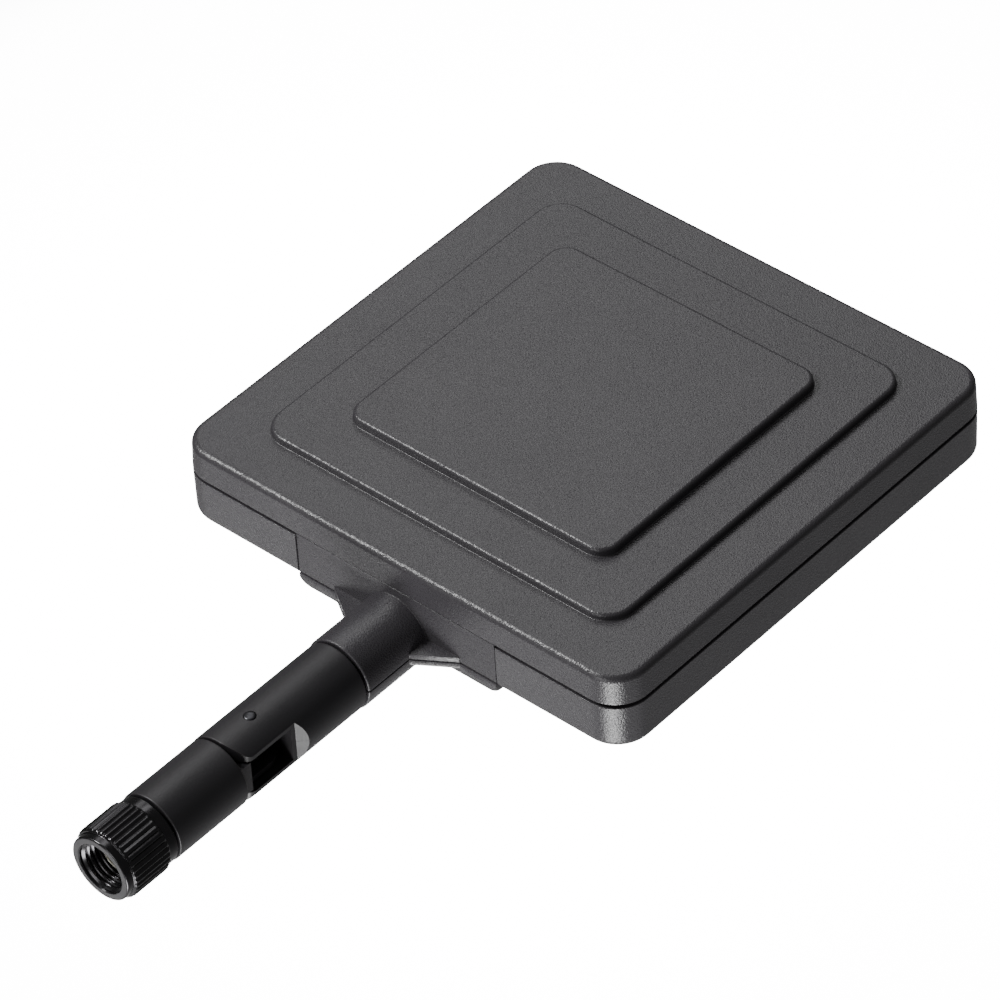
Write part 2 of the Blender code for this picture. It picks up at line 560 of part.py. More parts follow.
def build_back_shell(joint, plastic, steel):
    ledge_z = PART_Z - SKIRT_DROP - GAP
    rim_z = PART_Z - REVEAL / 2
    rings = [shell_ring(WALL, FLOOR_Z), shell_ring(WALL, ledge_z), shell_ring(RIM_T, ledge_z),
             shell_ring(RIM_T, rim_z), shell_ring(0.0, rim_z)]
    rings += rolled_edge(BACK_DRAFT, BACK_Z, BACK_EDGE_R, 4, shell_ring, rising=False)
    shell = piece("back_shell", mesh_from_rings(rings), joint, plastic)
    bosses = upright([(FLOOR_Z - 0.5, BOSS_R), (FLOOR_Z + 2.1, BOSS_R)])
    weld(shell, merged(bosses, boss_places(BOSS_AT)), "bosses")
    posts = upright([(FLOOR_Z - 0.5, POST_R), (PLATE_Z - GAP, POST_R)])
    weld(shell, merged(posts, boss_places(POST_AT)), "posts")
    head_seat = BACK_Z + SCREW_SINK
    holes = upright([(BACK_Z - 1.0, SCREW_HEAD_R + 0.25), (head_seat, SCREW_HEAD_R + 0.25),
                     (head_seat, SCREW_SHANK_R + 0.15), (FLOOR_Z + 4.0, SCREW_SHANK_R + 0.15)])
    cut(shell, merged(holes, boss_places(BOSS_AT)), "screw_holes")
    pilot = upright([(FLOOR_Z + 0.3, SCREW_SHANK_R), (PLATE_Z + 1.0, SCREW_SHANK_R)])
    cut(shell, merged(pilot, boss_places(POST_AT)), "pilot_holes")
    side = NECK_HALF_W + 0.2
    notch = box((-side, WALL_Y - 2.0, BACK_Z - 2.0), (side, WALL_Y + NECK_DEPTH + GAP, PART_Z + 2.0))
    cut(shell, notch, "neck_notch")
    for index, (x, y, _) in enumerate(boss_places(BOSS_AT), start=1):
        piece(f"shell_screw_{index}", screw(x, y, head_seat - GAP, 1, 6.2), joint, steel)
    for index, (x, y, _) in enumerate(boss_places(POST_AT), start=1):
        mesh = screw(x, y, PLATE_Z + PLATE_T + GAP, -1, 2.9, 0.8)
        bmesh.ops.scale(mesh, verts=mesh.verts, vec=(0.72, 0.72, 1.0),
                        space=Matrix.Translation(-Vector((x, y, 0.0)) * MM))
        piece(f"plate_screw_{index}", mesh, joint, steel)


# ---- Radiating parts inside the panel ----------------------------------------------------------
def plate_outline(half, cut_off):
    corners = []
    for sx, sy in ((1, 1), (-1, 1), (-1, -1), (1, -1)):
        pair = [(sx * half, CENTRE_Y + sy * (half - cut_off)), (sx * (half - cut_off), CENTRE_Y + sy * half)]
        corners += pair if sx * sy > 0 else reversed(pair)
    return corners


def build_radiator(joint, alloy, brass, nylon, copper):
    plate_mesh = extruded(plate_outline(PLATE_HALF, PLATE_CUT), PLATE_Z, PLATE_Z + PLATE_T)
    plate = piece("reflector_plate", plate_mesh, joint, alloy)
    through = upright([(PLATE_Z - 1.0, SCREW_SHANK_R), (PLATE_Z + 2.0, SCREW_SHANK_R)])
    feed_hole = upright([(PLATE_Z - 1.0, FEED_R + 0.6), (PLATE_Z + 2.0, FEED_R + 0.6)])
    cut(plate, merged(through, boss_places(POST_AT)), "screw_holes")
    cut(plate, merged(feed_hole, [(0.0, CENTRE_Y + FEED_AT, 0.0)]), "feed_hole")

    patch = piece("driven_patch", extruded(plate_outline(PATCH_HALF, PATCH_CUT), PATCH_Z, PATCH_Z + PATCH_T),
                  joint, brass)
    stud_hole = upright([(PATCH_Z - 1.0, STUD_R + 0.25), (PATCH_Z + 2.0, STUD_R + 0.25)])
    cut(patch, merged(stud_hole, [(0.0, CENTRE_Y, 0.0)]), "stud_hole")
    top_outline = plate_outline(TOP_PATCH_HALF, TOP_PATCH_CUT)
    top = piece("parasitic_patch", extruded(top_outline, TOP_PATCH_Z, TOP_PATCH_Z + PATCH_T), joint, brass)
    tip_hole = upright([(TOP_PATCH_Z - 1.0, STUD_TIP_R + 0.2), (TOP_PATCH_Z + 2.0, STUD_TIP_R + 0.2)])
    cut(top, merged(tip_hole, [(0.0, CENTRE_Y, 0.0)]), "tip_hole")

    stud = upright([(PLATE_Z + PLATE_T + 0.15, STUD_R + 0.6), (PLATE_Z + PLATE_T + 0.9, STUD_R + 0.6),
                    (PLATE_Z + PLATE_T + 0.9, STUD_R), (TOP_PATCH_Z - 0.15, STUD_R),
                    (TOP_PATCH_Z - 0.15, STUD_TIP_R), (TOP_PATCH_Z + 1.1, STUD_TIP_R * 0.8)])
    bmesh.ops.translate(stud, verts=stud.verts, vec=Vector((0.0, CENTRE_Y, 0.0)) * MM)
    piece("centre_stud", stud, joint, nylon)
    for index, place in enumerate(boss_places(SPACER_AT), start=1):
        spacer = upright_tube(SPACER_R, 0.8, PLATE_Z + PLATE_T + 0.15, PATCH_Z - 0.15)
        bmesh.ops.translate(spacer, verts=spacer.verts, vec=Vector(place) * MM)
        piece(f"patch_spacer_{index}", spacer, joint, nylon)
    feed = upright([(PLATE_Z - 1.2, FEED_R), (PATCH_Z - 0.15, FEED_R)])
    bmesh.ops.translate(feed, verts=feed.verts, vec=Vector((0.0, CENTRE_Y + FEED_AT, 0.0)) * MM)
    piece("feed_pin", feed, joint, copper)


def build_cable(joint, sheath, alloy):
    """Coax from the hinge through the spigot and neck to the feed, as one swept tube."""
    end_y = CENTRE_Y + COAX_END
    rise = (WALL_Y + CABLE_RISE[0], WALL_Y + CABLE_RISE[1])
    stations = [PIN_Y + 1.4, rise[0]]
    stations += [rise[0] + (rise[1] - rise[0]) * i / 8 for i in range(1, 9)]
    stations += [end_y]
    rings = []
    for y in stations:
        t = min(max((y - rise[0]) / (rise[1] - rise[0]), 0.0), 1.0)
        z = COAX_FLOOR_Z * t * t * (3 - 2 * t)
        rings.append([(COAX_R * math.cos(a), y, z + COAX_R * math.sin(a))
                      for a in (2 * math.pi * i / 12 for i in range(12))])
    piece("coax_upper", mesh_from_rings(rings), joint, sheath)

    low, high = FLOOR_Z + 0.18, PLATE_Z - 0.15
    clamp_y = CENTRE_Y + CLAMP_AT
    saddle = [(-3.2, high), (-3.2, high - 0.5), (-1.6, high - 0.5), (-1.6, low), (1.6, low), (1.6, high - 0.5),
              (3.2, high - 0.5), (3.2, high), (1.15, high), (1.15, low + 0.35), (-1.15, low + 0.35),
              (-1.15, high)]
    rings = [[(x, y, z) for x, z in saddle] for y in (clamp_y, clamp_y + CLAMP_L)]
    piece("cable_clamp", mesh_from_rings(rings), joint, alloy)


# ---- Assembly ----------------------------------------------------------------------------
def main():
    for old in list(bpy.data.objects):
        bpy.data.objects.remove(old, do_unlink=True)
    shell_black = material("moulded_black_plastic", (0.035, 0.034, 0.036), 0.55)
    stem_black = material("satin_black_plastic", (0.025, 0.024, 0.026), 0.38)
    nut_black = material("black_plated_brass", (0.02, 0.02, 0.021), 0.22, 1.0)
    nickel = material("nickel_plated_brass", (0.62, 0.60, 0.55), 0.28, 1.0)
    gold = material("gold_plate", (0.83, 0.61, 0.24), 0.22, 1.0)
    steel = material("blackened_steel", (0.05, 0.05, 0.055), 0.35, 1.0)
    spring = material("phosphor_bronze", (0.55, 0.36, 0.20), 0.35, 1.0)
    teflon = material("ptfe", (0.85, 0.85, 0.83), 0.45)
    rubber = material("silicone_rubber", (0.42, 0.09, 0.05), 0.6)
    nylon = material("white_nylon", (0.75, 0.74, 0.70), 0.5)
    alloy = material("aluminium_sheet", (0.70, 0.71, 0.72), 0.35, 1.0)
    brass = material("brass_sheet", (0.72, 0.56, 0.28), 0.32, 1.0)
    copper = material("tinned_copper", (0.66, 0.62, 0.58), 0.3, 1.0)
    sheath = material("black_cable_jacket", (0.03, 0.028, 0.028), 0.42)

    root = joint_empty("connector_axis", (0.0, 0.0, 0.0))
    nut_joint = joint_empty("nut_spin_axis", (0.0, 0.0, 0.0))
    swivel_joint = joint_empty("stem_swivel_axis", (0.0, LOWER_TUBE_START, 0.0))
    elbow_joint = joint_empty("elbow_hinge_axis", (0.0, PIN_Y, 0.0))

    build_connector(root, nickel, gold, teflon, rubber, spring)
    build_nut(nut_joint, nut_black)
    build_lower_tube(swivel_joint, stem_black, spring, sheath)
    build_upper_tube(elbow_joint, stem_black, steel)
    build_neck(elbow_joint, shell_black, steel)
    build_radome(elbow_joint, shell_black)
    build_back_shell(elbow_joint, shell_black, steel)
    build_radiator(elbow_joint, alloy, brass, nylon, copper)
    build_cable(elbow_joint, sheath, alloy)


main()
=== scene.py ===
"""Looks for the hinged panel antenna: fine meshes, materials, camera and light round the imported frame.

Lengths are in millimetres until a mesh is written, in metres. The frame's +Y runs along the stem
from the coupling nut to the panel, and +Z comes out of the panel's stepped face.
"""

import json
import math

import bpy
import bmesh
from mathutils import Matrix, Vector


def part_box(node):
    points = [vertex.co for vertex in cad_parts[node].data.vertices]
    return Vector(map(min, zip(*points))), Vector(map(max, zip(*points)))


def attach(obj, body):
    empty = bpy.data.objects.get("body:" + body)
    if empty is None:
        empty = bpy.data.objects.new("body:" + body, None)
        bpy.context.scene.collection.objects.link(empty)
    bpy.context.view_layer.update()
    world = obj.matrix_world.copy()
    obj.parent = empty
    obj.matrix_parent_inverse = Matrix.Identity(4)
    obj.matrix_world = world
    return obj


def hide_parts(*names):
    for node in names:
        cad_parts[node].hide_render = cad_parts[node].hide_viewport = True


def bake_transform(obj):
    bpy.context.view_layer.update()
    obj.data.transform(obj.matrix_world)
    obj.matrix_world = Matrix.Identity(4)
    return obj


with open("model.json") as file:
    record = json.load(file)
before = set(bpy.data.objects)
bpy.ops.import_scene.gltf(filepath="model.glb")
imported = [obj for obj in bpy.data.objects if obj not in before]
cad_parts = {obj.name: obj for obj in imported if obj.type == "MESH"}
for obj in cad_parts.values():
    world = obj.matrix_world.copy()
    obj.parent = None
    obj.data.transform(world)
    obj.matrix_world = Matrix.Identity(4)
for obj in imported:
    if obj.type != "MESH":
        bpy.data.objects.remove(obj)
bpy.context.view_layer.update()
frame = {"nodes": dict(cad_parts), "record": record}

MM = 0.001


def node_box(node):
    """Lowest and highest corner of a CAD node, in millimetres."""
    low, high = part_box(node)
    return low / MM, high / MM


# ---- Places and sizes read from the frame (mm) ---------------------------------------------
RADOME_LOW, RADOME_HIGH = node_box("front_radome")
SHELL_LOW, SHELL_HIGH = node_box("back_shell")
BLOCK_LOW, BLOCK_HIGH = node_box("neck_block")
COVER_HIGH = node_box("neck_cover")[1]
UPPER_START_Y = node_box("upper_tube")[0].y
LOWER_START_Y = node_box("lower_tube")[0].y
NUT_HIGH = node_box("coupling_nut")[1]
PIN_LOW, PIN_HIGH = node_box("hinge_pin_front")
COAX_START_Y = node_box("coax_lower")[0].y
COAX_END_Y = node_box("coax_upper")[1].y

HALF_W = RADOME_HIGH.x
WALL_Y = RADOME_LOW.y
HALF_D = (RADOME_HIGH.y - RADOME_LOW.y) / 2
CENTRE_Y = WALL_Y + HALF_D
BACK_Z = SHELL_LOW.z
TOP_Z = RADOME_HIGH.z
PIN_Y = (PIN_LOW.y + PIN_HIGH.y) / 2
SOCKET_START = BLOCK_LOW.y
NUT_R = NUT_HIGH.z
NUT_L = NUT_HIGH.y

# ---- Detail that the frame leaves plain (mm) -------------------------------------------------
STEP_H = (0.94, 1.14)
STEP_INSET = (7.0, 14.1)
STEP_CORNER_R = (3.6, 2.6)
STEP_EDGE_R = 0.5
CORNER_R = 4.6
EDGE_R = 0.85
BACK_EDGE_R = 1.0
RIM_EDGE_R = 0.1
WALL = 1.5
REVEAL = 0.5
SKIRT = (1.1, 1.9)
SKIRT_DROP = 1.0
RADOME_LEAN = 0.2
BACK_LEAN = 0.04
FACE_Z = TOP_Z - sum(STEP_H)
PART_Z = SHELL_HIGH.z + 0.2
SOCKET_R = 4.72
KEEL_LOW_Z = -2.3
TUBE_R = 4.56
LOWER_TUBE_R = 4.51
CORNER_STEPS = 14
ROUND = 144


# ---- Mesh building -----------------------------------------------------------------------
def path(points, steps=6, closed=False, guard=0.04):
    """Round the corners of a 2D path: points are (a, b) or (a, b, radius).

    Each arc has a guard point just before and after it, so that flat stretches shade flat.
    """
    count = len(points)
    made = []
    for i, point in enumerate(points):
        radius = point[2] if len(point) > 2 else 0.0
        here = Vector(point[:2])
        if not radius or (not closed and i in (0, count - 1)):
            made.append(tuple(here))
            continue
        before = Vector(points[i - 1][:2]) - here
        after = Vector(points[(i + 1) % count][:2]) - here
        half = before.angle(after) / 2
        reach = min(radius / math.tan(half), before.length * 0.48, after.length * 0.48)
        radius = reach * math.tan(half)
        start, end = here + before.normalized() * reach, here + after.normalized() * reach
        centre = here + (before.normalized() + after.normalized()).normalized() * (radius / math.sin(half))
        lead = min(guard, reach * 0.1)
        made.append(tuple(start + before.normalized() * lead))
        first, last = start - centre, end - centre
        turn = math.atan2(first.x * last.y - first.y * last.x, first.dot(last))
        for k in range(steps + 1):
            a = turn * k / steps
            spun = Vector((first.x * math.cos(a) - first.y * math.sin(a),
                           first.x * math.sin(a) + first.y * math.cos(a)))
            made.append(tuple(centre + spun))
        made.append(tuple(end + after.normalized() * lead))
    return made


def skinned(rings, wrap=False, around=True):
    """Skin a list of rings of points; ends are capped, or joined when wrap is set."""
    bm = bmesh.new()
    rows = [[bm.verts.new(Vector(point) * MM) for point in ring] for ring in rings]
    pairs = list(zip(rows, rows[1:]))
    if wrap:
        pairs.append((rows[-1], rows[0]))
    span = len(rows[0]) if around else len(rows[0]) - 1
    for low, high in pairs:
        for i in range(span):
            j = (i + 1) % len(low)
            bm.faces.new((low[i], low[j], high[j], high[i]))
    if not wrap:
        bm.faces.new(rows[0])
        bm.faces.new(rows[-1])
    bmesh.ops.recalc_face_normals(bm, faces=bm.faces)
    return bm


def turned(profile, hollow=True, sides=ROUND, arc=None):
    """Turn (y, radius) points about the stem axis; arc limits the sweep, in degrees from +X."""
    if arc:
        first, last = (math.radians(a) for a in arc)
        angles = [first + (last - first) * i / (sides // 2) for i in range(sides // 2 + 1)]
        return skinned([[(r * math.cos(a), y, r * math.sin(a)) for y, r in profile] for a in angles])
    angles = [2 * math.pi * i / sides for i in range(sides)]
    if hollow:
        return skinned([[(r * math.cos(a), y, r * math.sin(a)) for y, r in profile] for a in angles],
                       wrap=True)
    return skinned([[(r * math.cos(a), y, r * math.sin(a)) for a in angles] for y, r in profile])


def upright(profile, at=(0.0, 0.0, 0.0), sides=32):
    """Solid of revolution about Z from (z, radius) points, moved to a place."""
    angles = [2 * math.pi * i / sides for i in range(sides)]
    return skinned([[(at[0] + r * math.cos(a), at[1] + r * math.sin(a), at[2] + z) for a in angles]
                    for z, r in profile])


def extruded(outline, low, high, axis="Z"):
    """Extrude a 2D outline: XY along Z, or YZ along X."""
    if axis == "Z":
        return skinned([[(a, b, level) for a, b in outline] for level in (low, high)])
    return skinned([[(level, a, b) for a, b in outline] for level in (low, high)])


def box(low, high):
    (x0, y0, z0), (x1, y1, z1) = low, high
    return extruded([(x0, y0), (x1, y0), (x1, y1), (x0, y1)], z0, z1)


def arc_points(centre, radius, start, end, steps):
    angles = [math.radians(start + (end - start) * i / steps) for i in range(steps + 1)]
    return [(centre[0] + radius * math.cos(a), centre[1] + radius * math.sin(a)) for a in angles]


def plan_ring(inset, z, corner_r):
    """The panel's rounded outline, drawn in by inset, at height z."""
    half_w, half_d = HALF_W - inset, HALF_D - inset
    points = []
    for quarter, (sx, sy) in enumerate(((1, 1), (-1, 1), (-1, -1), (1, -1))):
        centre = (sx * (half_w - corner_r), CENTRE_Y + sy * (half_d - corner_r))
        points += arc_points(centre, corner_r, 90 * quarter, 90 * quarter + 90, CORNER_STEPS)
    return [(x, y, z) for x, y in points]


def shell_ring(inset, z):
    return plan_ring(inset, z, max(CORNER_R - inset, 0.8))


# ---- Pieces --------------------------------------------------------------------------------
def as_object(name, bm, sharp=32):
    mesh = bpy.data.meshes.new(name)
    bm.to_mesh(mesh)
    bm.free()
    mesh.shade_smooth()
    mesh.set_sharp_from_angle(angle=math.radians(sharp))
    obj = bpy.data.objects.new(name, mesh)
    bpy.context.scene.collection.objects.link(obj)
    return obj


def apply_modifiers(obj, sharp):
    """Replace the object's mesh by its evaluated one."""
    graph = bpy.context.evaluated_depsgraph_get()
    mesh = bpy.data.meshes.new_from_object(obj.evaluated_get(graph))
    obj.modifiers.clear()
    obj.data = mesh
    mesh.shade_smooth()
    mesh.set_sharp_from_angle(angle=math.radians(sharp))


def carve(obj, steps, sharp=32, bevel=0.0):
    """Apply a list of (operation, mesh) booleans, then a small bevel on the sharp edges."""
    helpers = []
    for operation, bm in steps:
        helper = as_object("helper", bm)
        helpers.append(helper)
        modifier = obj.modifiers.new(operation, "BOOLEAN")
        modifier.operation = operation
        modifier.object = helper
    if bevel:
        edge = obj.modifiers.new("edge", "BEVEL")
        edge.width = bevel * MM
        edge.segments = 2
        edge.limit_method = "ANGLE"
        edge.angle_limit = math.radians(40)
        edge.use_clamp_overlap = True
    apply_modifiers(obj, sharp)
    for helper in helpers:
        bpy.data.objects.remove(helper)
    return obj


def fit(obj, body, node, look):
    """Give a finished piece its material and its body, and hide the CAD node that it stands for."""
    obj.data.materials.clear()
    obj.data.materials.append(look)
    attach(obj, body)
    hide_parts(node)


# ---- Materials -------------------------------------------------------------------------------
MIX_COLOURS_IN = (6, 7)
MIX_COLOUR_OUT = 2


class Look:
    """A material with its Principled shader and short calls for adding nodes."""

    def __init__(self, name, colour, roughness, metallic=0.0, **sockets):
        self.material = bpy.data.materials.new(name)
        self.material.use_nodes = True
        self.tree = self.material.node_tree
        self.shader = self.tree.nodes["Principled BSDF"]
        self.shader.inputs["Base Color"].default_value = (*colour, 1.0)
        self.shader.inputs["Roughness"].default_value = roughness
        self.shader.inputs["Metallic"].default_value = metallic
        for socket, value in sockets.items():
            self.shader.inputs[socket.replace("_", " ")].default_value = value
        self.where = self.node("ShaderNodeTexCoord").outputs["Object"]

    def node(self, kind, **settings):
        made = self.tree.nodes.new(kind)
        for key, value in settings.items():
            setattr(made, key, value)
        return made

    def link(self, source, target):
        self.tree.links.new(source, target)

    def noise(self, size_mm, detail=3.0, rough=0.55, stretch=None):
        """Noise whose features are about size_mm across."""
        made = self.node("ShaderNodeTexNoise")
        made.inputs["Scale"].default_value = 1.0 / (size_mm * MM)
        made.inputs["Detail"].default_value = detail
        made.inputs["Roughness"].default_value = rough
        if stretch:
            mapping = self.node("ShaderNodeMapping")
            mapping.inputs["Scale"].default_value = stretch
            self.link(self.where, mapping.inputs["Vector"])
            self.link(mapping.outputs["Vector"], made.inputs["Vector"])
        else:
            self.link(self.where, made.inputs["Vector"])
        return made.outputs["Fac"]

    def grains(self, size_mm):
        """Distance to the nearest cell centre, for the pits of an eroded mould."""
        made = self.node("ShaderNodeTexVoronoi")
        made.inputs["Scale"].default_value = 1.0 / (size_mm * MM)
        self.link(self.where, made.inputs["Vector"])
        return made.outputs["Distance"]

    def ranged(self, source, low, high, start=0.0, end=1.0):
        made = self.node("ShaderNodeMapRange")
        for socket, value in zip(("From Min", "From Max", "To Min", "To Max"), (start, end, low, high)):
            made.inputs[socket].default_value = value
        self.link(source, made.inputs["Value"])
        return made.outputs["Result"]

    def math(self, operation, first, second):
        made = self.node("ShaderNodeMath", operation=operation)
        for socket, value in zip(made.inputs, (first, second)):
            if isinstance(value, (int, float)):
                socket.default_value = value
            else:
                self.link(value, socket)
        return made.outputs["Value"]

    def mix_colour(self, factor, first, second):
        """Blend two colours into the base colour; a Mix node's colours have sockets of their own."""
        made = self.node("ShaderNodeMix", data_type="RGBA")
        self.link(factor, made.inputs["Factor"])
        for index, colour in zip(MIX_COLOURS_IN, (first, second)):
            made.inputs[index].default_value = (*colour, 1.0)
        self.link(made.outputs[MIX_COLOUR_OUT], self.shader.inputs["Base Color"])

    def vary_roughness(self, source, low, high, start=0.3, end=0.7):
        self.link(self.ranged(source, low, high, start, end), self.shader.inputs["Roughness"])

    def bump(self, height, distance_mm, strength=1.0):
        made = self.node("ShaderNodeBump")
        made.inputs["Distance"].default_value = distance_mm * MM
        made.inputs["Strength"].default_value = strength
        self.link(height, made.inputs["Height"])
        self.link(made.outputs["Normal"], self.shader.inputs["Normal"])


def eroded_plastic(name, dark, light, roughness, depth, **sockets):
    """Matte black moulding with the fine, even grain of a spark-eroded tool."""
    look = Look(name, dark, roughness, **sockets)
    cloud = look.noise(9.0, detail=2.0)
    look.mix_colour(look.ranged(cloud, 0.0, 1.0, 0.35, 0.65), dark, light)
    grain = look.math("ADD", look.noise(0.19, detail=2.0), look.math("MULTIPLY", look.grains(0.21), 0.8))
    look.vary_roughness(grain, roughness - 0.08, roughness + 0.08, 0.6, 1.1)
    look.bump(grain, depth)
    return look.material


def satin_plastic(name, dark, light, roughness, depth):
    """Smoother satin moulding, with faint grain and flow marks along the stem."""
    look = Look(name, dark, roughness)
    flow = look.noise(3.0, detail=3.0, stretch=(1.0, 0.2, 1.0))
    look.mix_colour(look.ranged(flow, 0.0, 1.0, 0.35, 0.65), dark, light)
    grain = look.noise(0.22, detail=2.0)
    look.vary_roughness(flow, roughness - 0.03, roughness + 0.05)
    look.bump(grain, depth)
    return look.material


def plated_metal(name, dark, light, roughness, scratch=0.004, size=0.12, stretch=(1.0, 1.0, 1.0)):
    look = Look(name, dark, roughness, metallic=1.0)
    stain = look.noise(1.4, detail=4.0)
    look.mix_colour(look.ranged(stain, 0.0, 1.0, 0.35, 0.65), dark, light)
    lines = look.noise(size, detail=3.0, stretch=stretch)
    look.vary_roughness(lines, roughness - 0.05, roughness + 0.08)
    look.bump(lines, scratch)
    return look.material


def soft_plastic(name, dark, light, roughness, size=0.5, depth=0.004):
    look = Look(name, dark, roughness)
    cloud = look.noise(size * 5)
    look.mix_colour(look.ranged(cloud, 0.0, 1.0, 0.35, 0.65), dark, light)
    look.vary_roughness(cloud, roughness - 0.05, roughness + 0.05)
    look.bump(look.noise(size, detail=2.0), depth)
    return look.material


SHELL_LOOK = eroded_plastic("eroded_black_plastic", (0.034, 0.0315, 0.0355), (0.038, 0.0355, 0.0395),
                            0.31, 0.028)
STEM_LOOK = satin_plastic("satin_black_plastic", (0.0145, 0.0135, 0.0155), (0.0175, 0.0163, 0.0185),
                          0.46, 0.012)
PIN_LOOK = plated_metal("blackened_steel", (0.05, 0.05, 0.055), (0.07, 0.07, 0.075), 0.34)
NUT_LOOK = plated_metal("black_nut_plating", (0.045, 0.044, 0.046), (0.055, 0.054, 0.056), 0.2, 0.002)
THREAD_LOOK = plated_metal("nickel_plating", (0.58, 0.56, 0.50), (0.66, 0.63, 0.55), 0.24)
GOLD_LOOK = plated_metal("gold_contact", (0.80, 0.58, 0.22), (0.86, 0.65, 0.28), 0.2)
SCREW_LOOK = plated_metal("black_zinc", (0.08, 0.08, 0.085), (0.11, 0.11, 0.115), 0.35)
BRONZE_LOOK = plated_metal("phosphor_bronze", (0.52, 0.33, 0.19), (0.60, 0.40, 0.24), 0.32)
SHEET_LOOK = plated_metal("rolled_aluminium", (0.68, 0.69, 0.70), (0.76, 0.77, 0.78), 0.34,
                          0.004, 0.4, (1.0, 0.05, 1.0))
BRASS_LOOK = plated_metal("rolled_brass", (0.66, 0.50, 0.24), (0.76, 0.60, 0.32), 0.3,
                          0.004, 0.4, (0.05, 1.0, 1.0))
COPPER_LOOK = plated_metal("tinned_copper", (0.62, 0.59, 0.55), (0.70, 0.67, 0.63), 0.3)
PTFE_LOOK = soft_plastic("ptfe", (0.80, 0.80, 0.78), (0.86, 0.86, 0.85), 0.45)
NYLON_LOOK = soft_plastic("natural_nylon", (0.70, 0.69, 0.64), (0.78, 0.77, 0.73), 0.5)
RUBBER_LOOK = soft_plastic("red_silicone", (0.38, 0.07, 0.04), (0.45, 0.10, 0.06), 0.6)
CABLE_LOOK = soft_plastic("cable_jacket", (0.022, 0.021, 0.022), (0.030, 0.028, 0.029), 0.42, 0.3)


# ---- Panel shells ----------------------------------------------------------------------------
def radome():
    """Front cover: skirt, wall, rolled edge and two raised steps, skinned ring by ring."""
    step_1, step_2 = FACE_Z + STEP_H[0], TOP_Z
    under = (STEP_INSET[0] + 1.2, STEP_INSET[1] + 1.2)
    rings = [plan_ring(under[1], TOP_Z - WALL, 1.8), plan_ring(under[1], step_1 - WALL, 1.8),
             plan_ring(under[0], step_1 - WALL, 2.8), plan_ring(under[0], FACE_Z - WALL, 2.8)]
    rim = PART_Z + REVEAL / 2
    wall = path([(SKIRT[1], FACE_Z - WALL), (SKIRT[1], PART_Z - SKIRT_DROP), (SKIRT[0], PART_Z - SKIRT_DROP),
                 (SKIRT[0], rim), (0.0, rim, RIM_EDGE_R), (RADOME_LEAN, FACE_Z, EDGE_R),
                 (STEP_INSET[0] - 1.0, FACE_Z)], steps=8)
    rings += [shell_ring(inset, z) for inset, z in wall]
    levels = [FACE_Z, step_1, step_2]
    for index, (start, radius) in enumerate(zip(STEP_INSET, STEP_CORNER_R)):
        low, high = levels[index], levels[index + 1]
        rise = path([(start - 0.6, low), (start, low, 0.12), (start + 0.06, high, STEP_EDGE_R),
                     (start + 2.0, high)], steps=6)
        rings += [plan_ring(inset, z, max(radius - (inset - start), 0.5)) for inset, z in rise]
    return as_object("radome_cover", skinned(rings))


def back_shell():
    """Back half with its rebate, screw wells, posts and the notch for the neck block."""
    floor_z = BACK_Z + WALL
    ledge_z = PART_Z - SKIRT_DROP - 0.3
    rim = PART_Z - REVEAL / 2
    section = path([(WALL, floor_z), (WALL, ledge_z), (0.8, ledge_z), (0.8, rim), (0.0, rim, RIM_EDGE_R),
                    (BACK_LEAN, BACK_Z, BACK_EDGE_R), (8.0, BACK_Z)], steps=8)
    obj = as_object("back_cover", skinned([shell_ring(inset, z) for inset, z in section]))
    side = COVER_HIGH.x + 0.18
    notch = box((-side, WALL_Y - 2.0, BACK_Z - 2.0), (side, BLOCK_HIGH.y + 0.4, PART_Z + 2.0))
    steps = []
    head_seat = BACK_Z + 1.9
    for index in range(1, 5):
        low, high = node_box(f"shell_screw_{index}")
        at = ((low.x + high.x) / 2, (low.y + high.y) / 2, 0.0)
        head = (high.x - low.x) / 2 + 0.25
        steps.append(("UNION", upright([(floor_z - 0.5, 2.6), (floor_z + 2.1, 2.6)], at)))
        well = path([(BACK_Z - 0.5, head + 0.6), (BACK_Z, head + 0.12, 0.1), (BACK_Z + 0.12, head),
                     (head_seat, head), (head_seat, 1.05), (floor_z + 4.0, 1.05)], steps=3)
        steps.append(("DIFFERENCE", upright(well, at, sides=48)))
    steps.append(("DIFFERENCE", notch))
    return carve(obj, steps)


# ---- Neck --------------------------------------------------------------------------------------
NECK_SET_BACK = 0.08
NECK_ROUND = 1.2
NECK_EDGE_R = 0.06
NECK_BEVEL = 0.06
NECK_ROOT = 0.5
SOCKET_BORE_R = 3.6
SOCKET_GROOVE = (3.4, 1.5, 4.15)
GUSSET_HALF_T = 0.8
GUSSET_INNER_X = 4.35
GUSSET_L = 3.1
GUSSET_TIP_X = 9.6
CHANNEL_HALF_W = 1.3
CHANNEL_OUT, CHANNEL_IN = 0.5, 6.0
NECK_SEAT_Z = -1.15
SCREW_HOLE_R = 1.05


def socket_half(arc):
    """Half of the socket's wall, with the groove that holds the stem's collar."""
    start, root = SOCKET_START, WALL_Y + NECK_ROOT
    groove_start, groove_end = WALL_Y - SOCKET_GROOVE[0], WALL_Y - SOCKET_GROOVE[1]
    groove_r = SOCKET_GROOVE[2]
    section = [(start, SOCKET_BORE_R), (groove_start, SOCKET_BORE_R), (groove_start, groove_r),
               (groove_end, groove_r), (groove_end, SOCKET_BORE_R), (root, SOCKET_BORE_R), (root, SOCKET_R),
               (start, SOCKET_R, 0.22)]
    return turned(path(section, closed=True, steps=4), arc=arc)


